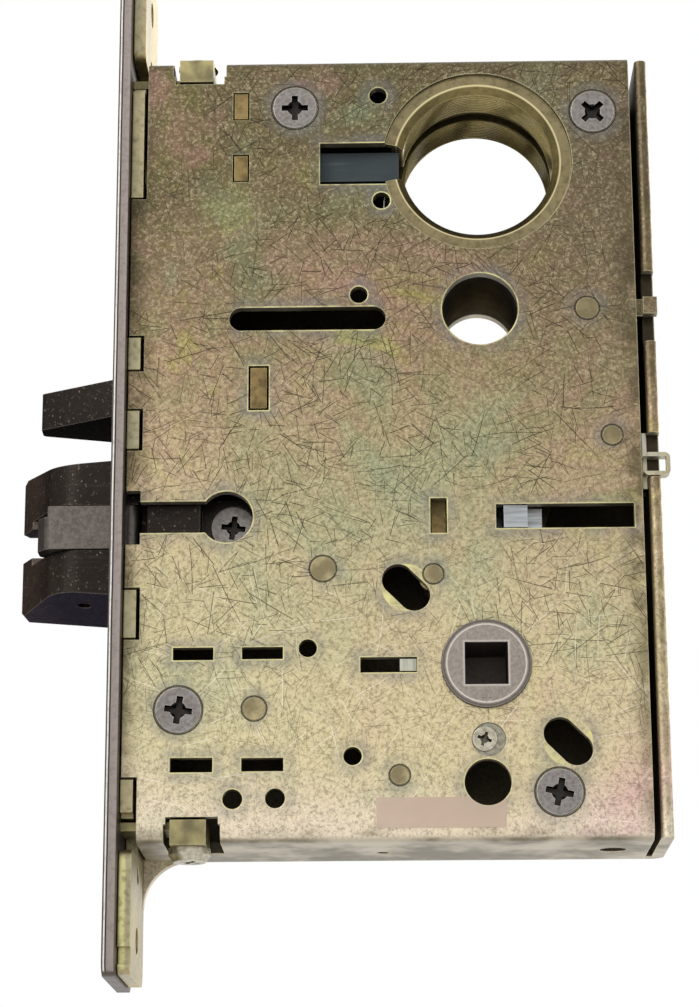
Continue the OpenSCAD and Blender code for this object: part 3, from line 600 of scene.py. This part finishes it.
# Edges painted bright: rubbed wear and painted highlight.
colour = f.mix(f.edge_wear_and_highlight(0.25 * MM).rises(0.02, 0.25) * 0.7, colour, tone(190, 170, 140))
paint(f.finish(colour, f.noise(400) * 0.2 + 0.3, 0.85, f.noise(900), 0.00005), "armor_screws")

# ---- bevel lugs and levers ----
# Stamped steel with a thin yellow passivate: the angle lugs behind the front and the two
# levers inside the case.
f = Finish("stamped_lever")
brushed = f.stretched(0.3, 1, 1, 700)
colour = f.mix(f.noise(170, 3.0).rises(0.35, 0.65), tone(176, 164, 116), tone(112, 104, 76))
colour = f.mix(brushed.rises(0.5, 0.8) * 0.35, colour, tone(122, 112, 84))
# Edges painted bright: rubbed wear and painted highlight.
colour = f.mix(f.edge_wear_and_highlight(0.3 * MM).rises(0.02, 0.25) * 0.6, colour, tone(232, 226, 184))
paint(f.finish(colour, brushed * 0.2 + 0.28, 0.85, brushed, 0.00004, edge=0.2 * MM),
      "bevel_clamps", "retractor_lever", "deadlock_lever")

# ---- bolts ----
# The latchbolt's head and the auxiliary bolt: sintered steel, oil blackened. The noses are
# rubbed to a lighter brown where they strike, and fine lines run along the sliding faces.
f = Finish("blackened_bolts")
stroke = f.stretched(0.08, 1, 1, 1300)
colour = f.mix(f.noise(90, 4.0, 0.6), tone(34, 30, 27), tone(50, 45, 41))
rubbed = f.x.rises(-80 * MM, -86 * MM) * f.z.rises(46 * MM, 44 * MM) * (f.noise(140, 3.0) * 0.6 + 0.4)
colour = f.mix(rubbed * 0.75, colour, tone(108, 97, 90))
colour = f.mix(f.noise(1500, 2.0, 0.7).rises(0.60, 0.76) * 0.5, colour, tone(150, 138, 128))
colour = f.mix(stroke.rises(0.52, 0.8) * 0.2, colour, tone(84, 76, 70))
# Painted reflection: down-facing faces low on the bolts are tinted bluish grey.
colour = f.mix(f.up.rises(-0.5, -0.9) * f.z.rises(40 * MM, 30 * MM) * 0.7, colour, tone(78, 76, 88))
# Edges painted bright: rubbed wear and painted highlight.
colour = f.mix(f.edge_wear_and_highlight(0.35 * MM).rises(0.02, 0.25) * 0.6, colour, tone(140, 128, 116))
paint(f.finish(colour, f.noise(600) * 0.2 + 0.28, 0.97, f.noise(1500, 2.0), 0.00007, edge=0.3 * MM,
               Specular_Tint=tone(110, 104, 98)), "latch_head", "aux_bolt")

# ---- tongue ----
# The anti-friction tongue swings on its pin in the latchbolt. Grey, grainy sintered steel,
# its nose burnished dark.
f = Finish("grey_tongue")
colour = f.mix(f.noise(1300, 3.0, 0.7).rises(0.3, 0.7), tone(112, 105, 99), tone(88, 82, 77))
colour = f.mix(f.noise(150, 3.0).rises(0.5, 0.7) * 0.4, colour, tone(120, 112, 106))
colour = f.mix(f.x.rises(-81.5 * MM, -83.5 * MM) * 0.7, colour, tone(44, 40, 40))
# Edges painted bright: rubbed wear and painted highlight.
colour = f.mix(f.edge_wear_and_highlight(0.3 * MM).rises(0.02, 0.25) * 0.6, colour, tone(160, 150, 142))
paint(f.finish(colour, f.noise(500) * 0.2 + 0.32, 0.95, f.noise(1300, 3.0, 0.7), 0.00008,
               edge=0.25 * MM, Specular_Tint=tone(150, 146, 140)), "antifriction_tongue")

# ---- bars of the bolts ----
# Plain drawn steel: the flat tail behind the latchbolt with its cross lug, and the rod of
# the auxiliary bolt. Fine draw lines run along both.
f = Finish("drawn_steel")
draw = f.stretched(0.08, 1, 1, 1100)
colour = f.mix(draw.rises(0.35, 0.7), tone(176, 180, 182), tone(136, 138, 138))
colour = f.mix(f.noise(130, 3.0).rises(0.5, 0.7) * 0.4, colour, tone(110, 104, 96))
# Edges painted bright: rubbed wear and painted highlight.
colour = f.mix(f.edge_wear_and_highlight(0.3 * MM).rises(0.02, 0.25) * 0.5, colour, tone(226, 228, 228))
paint(f.finish(colour, draw * 0.2 + 0.25, 0.9, draw, 0.00005, edge=0.2 * MM), "latch_tail", "aux_rod")

# ---- hubs ----
# Two sintered steel halves that turn in the plates. Matt and grainy, with a small pressed
# arrow under the square, darker outside the rim, a painted highlight round the rim and at the mouth of the
# square, and painted shade on all that lies below the face.
f = Finish("sintered_hub")
pores = f.noise(1600, 3.0, 0.7)
colour = f.mix(pores.rises(0.3, 0.7), tone(158, 149, 140), tone(136, 127, 119))
from_axis = f.node("Math", {"operation": "SQRT"}, {0: f.x * f.x + f.z * f.z})
face = abs(f.y).rises(12.5 * MM, 12.9 * MM)
colour = f.mix(from_axis.rises(7.5 * MM, 7.9 * MM) * face * 0.7, colour, tone(70, 64, 58))
# Painted highlight: a thin bright ring at the rim of the face.
rim = abs(from_axis - 7.35 * MM).rises(0.22 * MM, 0.05 * MM) * face
colour = f.mix(rim * 0.7, colour, tone(222, 214, 204))
# Painted highlight: the mouth of the square is lightened.
square = abs(f.x).most(abs(f.z))
colour = f.mix(square.rises(4.55 * MM, 4.1 * MM) * face * 0.6, colour, tone(206, 198, 188))
# Painted shade: everything below the outer face, in the square and on the sides, is darkened.
colour = f.mix((1 - face) * 0.85, colour, tone(66, 58, 52))
# Edges painted bright: rubbed wear and painted highlight.
colour = f.mix(f.edge_wear_and_highlight(0.4 * MM).rises(0.02, 0.25) * 0.6, colour, tone(200, 192, 184))
paint(f.finish(colour, pores * 0.2 + 0.4, 0.9, pores, 0.00005, edge=0.25 * MM), "hub_inside", "hub_outside")

# ---- cylinder clamp ----
# The dark blued bar that grips the cylinder's side, and the long set screw that drives it
# from the front.
f = Finish("blued_steel")
grain = f.stretched(0.1, 1, 1, 1000)
colour = f.mix(f.noise(110, 3.0), tone(46, 54, 57), tone(66, 74, 77))
colour = f.mix(grain.rises(0.5, 0.8) * 0.35, colour, tone(96, 102, 104))
# Edges painted bright: rubbed wear and painted highlight.
colour = f.mix(f.edge_wear_and_highlight(0.3 * MM).rises(0.02, 0.25) * 0.5, colour, tone(138, 140, 138))
paint(f.finish(colour, grain * 0.2 + 0.35, 0.7, grain, 0.00005, edge=0.2 * MM),
      "cylinder_clamp", "cylinder_set_screw")

# ---- floor ----
# A plain pale floor a little below the lock.
floor_mesh = bpy.data.meshes.new("floor")
reach, drop = 3.0, -0.21
corners = [(-reach, -reach, drop), (reach, -reach, drop), (reach, reach, drop), (-reach, reach, drop)]
floor_mesh.from_pydata(corners, [], [(0, 1, 2, 3)])
floor = bpy.data.objects.new("floor", floor_mesh)
bpy.context.collection.objects.link(floor)
f = Finish("pale_floor")
pale = f.mix(f.noise(6, 2.0), (0.8, 0.8, 0.8, 1.0), (0.84, 0.84, 0.84, 1.0))
floor_mesh.materials.append(f.finish(pale, 0.8, 0.0))
